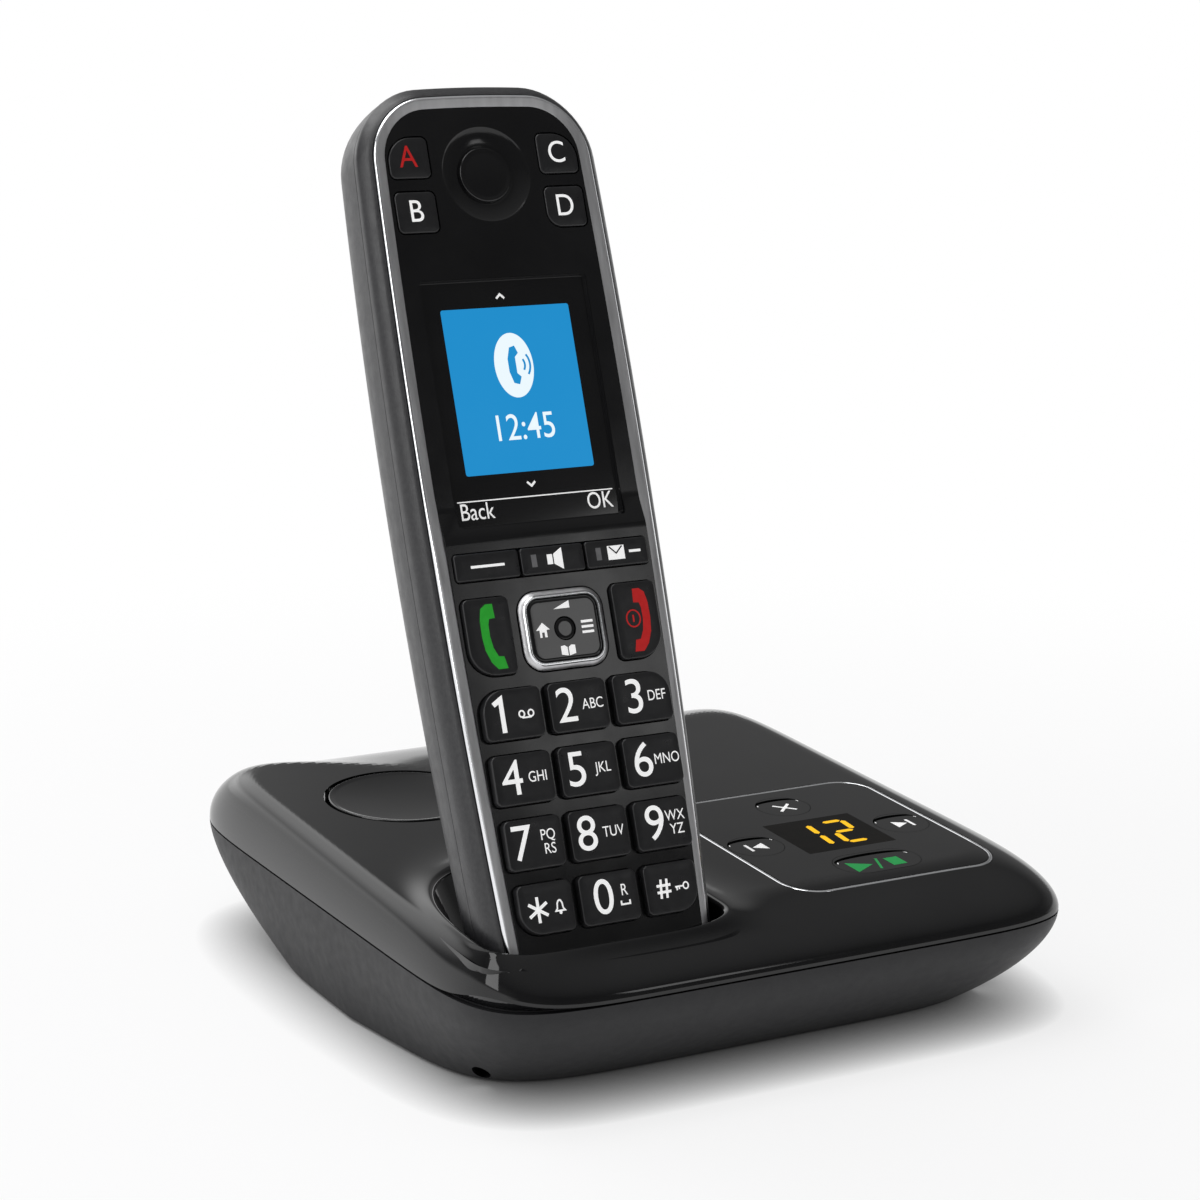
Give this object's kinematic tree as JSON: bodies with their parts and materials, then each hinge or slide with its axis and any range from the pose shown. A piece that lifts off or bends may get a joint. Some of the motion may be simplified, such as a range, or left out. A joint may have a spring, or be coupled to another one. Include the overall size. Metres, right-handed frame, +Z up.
{
  "type": "cordless phone with answering machine base",
  "caption": "Cordless phone standing in a charging base with a built-in answering machine: black handset with silver trim, colour display and keypad; glossy black base with message keys.",
  "frame": {"origin": "On the floor, under the middle of the base's outline", "axes": "+Z up, the keypad and the panel's near edge face -Y, +X to the right as seen by the user"},
  "size_m": [0.1364, 0.1566, 0.1846],
  "materials": {
    "gloss_black": "polished piano black moulding",
    "base_grey": "fine-grained dark grey moulding",
    "handset_black": "satin black moulding",
    "key_black": "satin black key caps, printed",
    "silver_trim": "bright plated trim",
    "lens_glass": "dark clear window",
    "screen": "lit blue colour display",
    "led_dark": "smoked window over seven-segment digits",
    "board_green": "green solder resist",
    "part_dark": "black moulded component",
    "mat_grey": "grey silicone keypad mat",
    "foot_rubber": "black rubber",
    "contact_gold": "gold-plated contacts",
    "steel": "zinc-plated steel",
    "cell_wrap": "plain green battery sleeve"
  },
  "bodies": {
    "base": {"base_top_cover": "gloss_black", "base_bottom_shell": "base_grey", "panel_trim_line": "silver_trim", "led_window": "led_dark", "led_module": "part_dark", "panel_board": "board_green", "main_board": "board_green", "base_speaker": "part_dark", "contact_carrier": "part_dark", "power_socket": "part_dark", "line_socket": "part_dark", "rubber_feet": "foot_rubber", "base_screws": "steel"},
    "handset": {"handset_front_cover": "gloss_black", "handset_rear_cover": "handset_black", "handset_trim_band": "silver_trim", "receiver_cap": "gloss_black", "display_lens": "lens_glass", "lcd_module": "screen", "keypad_mat": "mat_grey", "handset_board": "board_green", "battery_cells": "cell_wrap", "battery_contacts": "steel", "earpiece_speaker": "part_dark", "handsfree_speaker": "part_dark", "microphone": "steel", "handset_contacts": "contact_gold", "handset_screws": "steel"},
    "battery_lid": {"battery_cover": "handset_black"},
    "paging_button": {"paging_key": "gloss_black"},
    "delete_button": {"delete_key": "gloss_black"},
    "previous_button": {"previous_key": "gloss_black"},
    "next_button": {"next_key": "gloss_black"},
    "play_button": {"play_key": "gloss_black"},
    "left_pin": {"charge_pin_left": "contact_gold"},
    "right_pin": {"charge_pin_right": "contact_gold"},
    "nav_rim": {"nav_frame": "silver_trim"},
    "nav_rocker": {"nav_pad": "gloss_black"},
    "nav_center": {"nav_center_key": "silver_trim"},
    "talk_key_cap": {"talk_key": "key_black"},
    "end_key_cap": {"end_key": "key_black"},
    "softkey_left_cap": {"softkey_left": "key_black"},
    "speaker_key_cap": {"speaker_key": "key_black"},
    "message_key_cap": {"message_key": "key_black"},
    "key_1_cap": {"key_1": "key_black"},
    "key_2_cap": {"key_2": "key_black"},
    "key_3_cap": {"key_3": "key_black"},
    "key_4_cap": {"key_4": "key_black"},
    "key_5_cap": {"key_5": "key_black"},
    "key_6_cap": {"key_6": "key_black"},
    "key_7_cap": {"key_7": "key_black"},
    "key_8_cap": {"key_8": "key_black"},
    "key_9_cap": {"key_9": "key_black"},
    "key_star_cap": {"key_star": "key_black"},
    "key_0_cap": {"key_0": "key_black"},
    "key_hash_cap": {"key_hash": "key_black"},
    "key_a_cap": {"key_a": "key_black"},
    "key_b_cap": {"key_b": "key_black"},
    "key_c_cap": {"key_c": "key_black"},
    "key_d_cap": {"key_d": "key_black"}
  },
  "joints": [
    {"name": "handset_lift", "type": "slide", "parent": "base", "child": "handset", "axis": [0, 0.3437, 0.9391], "range_m": [0, 0.06]},
    {"name": "battery_cover_swing", "type": "hinge", "parent": "handset", "child": "battery_lid", "pos_m": [-0.0368, -0.01234, 0.10465], "axis": [1, 0, 0], "range_deg": [0, 35]},
    {"name": "paging_press", "type": "slide", "parent": "base", "child": "paging_button", "axis": [0, 0.0436, -0.999], "range_m": [0, 0.001], "stiffness_N_per_m": 600},
    {"name": "delete_press", "type": "hinge", "parent": "base", "child": "delete_button", "pos_m": [0.0318, -0.02219, 0.03313], "axis": [-1, 0, 0], "range_deg": [0, 3], "stiffness_Nm_per_rad": 0.03},
    {"name": "previous_press", "type": "hinge", "parent": "base", "child": "previous_button", "pos_m": [0.0136, -0.04129, 0.0323], "axis": [-1, 0, 0], "range_deg": [0, 3], "stiffness_Nm_per_rad": 0.03},
    {"name": "next_press", "type": "hinge", "parent": "base", "child": "next_button", "pos_m": [0.049, -0.04129, 0.0323], "axis": [-1, 0, 0], "range_deg": [0, 3], "stiffness_Nm_per_rad": 0.03},
    {"name": "play_press", "type": "hinge", "parent": "base", "child": "play_button", "pos_m": [0.0314, -0.0584, 0.03155], "axis": [-1, 0, 0], "range_deg": [0, 3], "stiffness_Nm_per_rad": 0.03},
    {"name": "left_pin_press", "type": "slide", "parent": "base", "child": "left_pin", "axis": [0, 0.3437, 0.9391], "range_m": [-0.0012, 0], "stiffness_N_per_m": 300},
    {"name": "right_pin_press", "type": "slide", "parent": "base", "child": "right_pin", "axis": [0, 0.3437, 0.9391], "range_m": [-0.0012, 0], "stiffness_N_per_m": 300},
    {"name": "nav_rock_up_down", "type": "hinge", "parent": "handset", "child": "nav_rim", "pos_m": [-0.0368, -0.04453, 0.0848], "axis": [1, 0, 0], "range_deg": [-2, 2], "stiffness_Nm_per_rad": 0.05},
    {"name": "nav_rock_left_right", "type": "hinge", "parent": "nav_rim", "child": "nav_rocker", "pos_m": [-0.0368, -0.04453, 0.0848], "axis": [0, 0.3437, 0.9391], "range_deg": [-2, 2], "stiffness_Nm_per_rad": 0.05},
    {"name": "nav_center_press", "type": "slide", "parent": "nav_rocker", "child": "nav_center", "axis": [0, 0.9391, -0.3437], "range_m": [0, 0.0004], "stiffness_N_per_m": 600},
    {"name": "talk_key_press", "type": "slide", "parent": "handset", "child": "talk_key_cap", "axis": [0, 0.9391, -0.3437], "range_m": [0, 0.0007], "stiffness_N_per_m": 600},
    {"name": "end_key_press", "type": "slide", "parent": "handset", "child": "end_key_cap", "axis": [0, 0.9391, -0.3437], "range_m": [0, 0.0007], "stiffness_N_per_m": 600},
    {"name": "softkey_left_press", "type": "slide", "parent": "handset", "child": "softkey_left_cap", "axis": [0, 0.9391, -0.3437], "range_m": [0, 0.0007], "stiffness_N_per_m": 600},
    {"name": "speaker_key_press", "type": "slide", "parent": "handset", "child": "speaker_key_cap", "axis": [0, 0.9391, -0.3437], "range_m": [0, 0.0007], "stiffness_N_per_m": 600},
    {"name": "message_key_press", "type": "slide", "parent": "handset", "child": "message_key_cap", "axis": [0, 0.9391, -0.3437], "range_m": [0, 0.0007], "stiffness_N_per_m": 600},
    {"name": "key_1_press", "type": "slide", "parent": "handset", "child": "key_1_cap", "axis": [0, 0.9391, -0.3437], "range_m": [0, 0.0007], "stiffness_N_per_m": 600},
    {"name": "key_2_press", "type": "slide", "parent": "handset", "child": "key_2_cap", "axis": [0, 0.9391, -0.3437], "range_m": [0, 0.0007], "stiffness_N_per_m": 600},
    {"name": "key_3_press", "type": "slide", "parent": "handset", "child": "key_3_cap", "axis": [0, 0.9391, -0.3437], "range_m": [0, 0.0007], "stiffness_N_per_m": 600},
    {"name": "key_4_press", "type": "slide", "parent": "handset", "child": "key_4_cap", "axis": [0, 0.9391, -0.3437], "range_m": [0, 0.0007], "stiffness_N_per_m": 600},
    {"name": "key_5_press", "type": "slide", "parent": "handset", "child": "key_5_cap", "axis": [0, 0.9391, -0.3437], "range_m": [0, 0.0007], "stiffness_N_per_m": 600},
    {"name": "key_6_press", "type": "slide", "parent": "handset", "child": "key_6_cap", "axis": [0, 0.9391, -0.3437], "range_m": [0, 0.0007], "stiffness_N_per_m": 600},
    {"name": "key_7_press", "type": "slide", "parent": "handset", "child": "key_7_cap", "axis": [0, 0.9391, -0.3437], "range_m": [0, 0.0007], "stiffness_N_per_m": 600},
    {"name": "key_8_press", "type": "slide", "parent": "handset", "child": "key_8_cap", "axis": [0, 0.9391, -0.3437], "range_m": [0, 0.0007], "stiffness_N_per_m": 600},
    {"name": "key_9_press", "type": "slide", "parent": "handset", "child": "key_9_cap", "axis": [0, 0.9391, -0.3437], "range_m": [0, 0.0007], "stiffness_N_per_m": 600},
    {"name": "key_star_press", "type": "slide", "parent": "handset", "child": "key_star_cap", "axis": [0, 0.9391, -0.3437], "range_m": [0, 0.0007], "stiffness_N_per_m": 600},
    {"name": "key_0_press", "type": "slide", "parent": "handset", "child": "key_0_cap", "axis": [0, 0.9391, -0.3437], "range_m": [0, 0.0007], "stiffness_N_per_m": 600},
    {"name": "key_hash_press", "type": "slide", "parent": "handset", "child": "key_hash_cap", "axis": [0, 0.9391, -0.3437], "range_m": [0, 0.0007], "stiffness_N_per_m": 600},
    {"name": "key_a_press", "type": "slide", "parent": "handset", "child": "key_a_cap", "axis": [0, 0.9391, -0.3437], "range_m": [0, 0.0007], "stiffness_N_per_m": 600},
    {"name": "key_b_press", "type": "slide", "parent": "handset", "child": "key_b_cap", "axis": [0, 0.9391, -0.3437], "range_m": [0, 0.0007], "stiffness_N_per_m": 600},
    {"name": "key_c_press", "type": "slide", "parent": "handset", "child": "key_c_cap", "axis": [0, 0.9391, -0.3437], "range_m": [0, 0.0007], "stiffness_N_per_m": 600},
    {"name": "key_d_press", "type": "slide", "parent": "handset", "child": "key_d_cap", "axis": [0, 0.9391, -0.3437], "range_m": [0, 0.0007], "stiffness_N_per_m": 600}
  ]
}
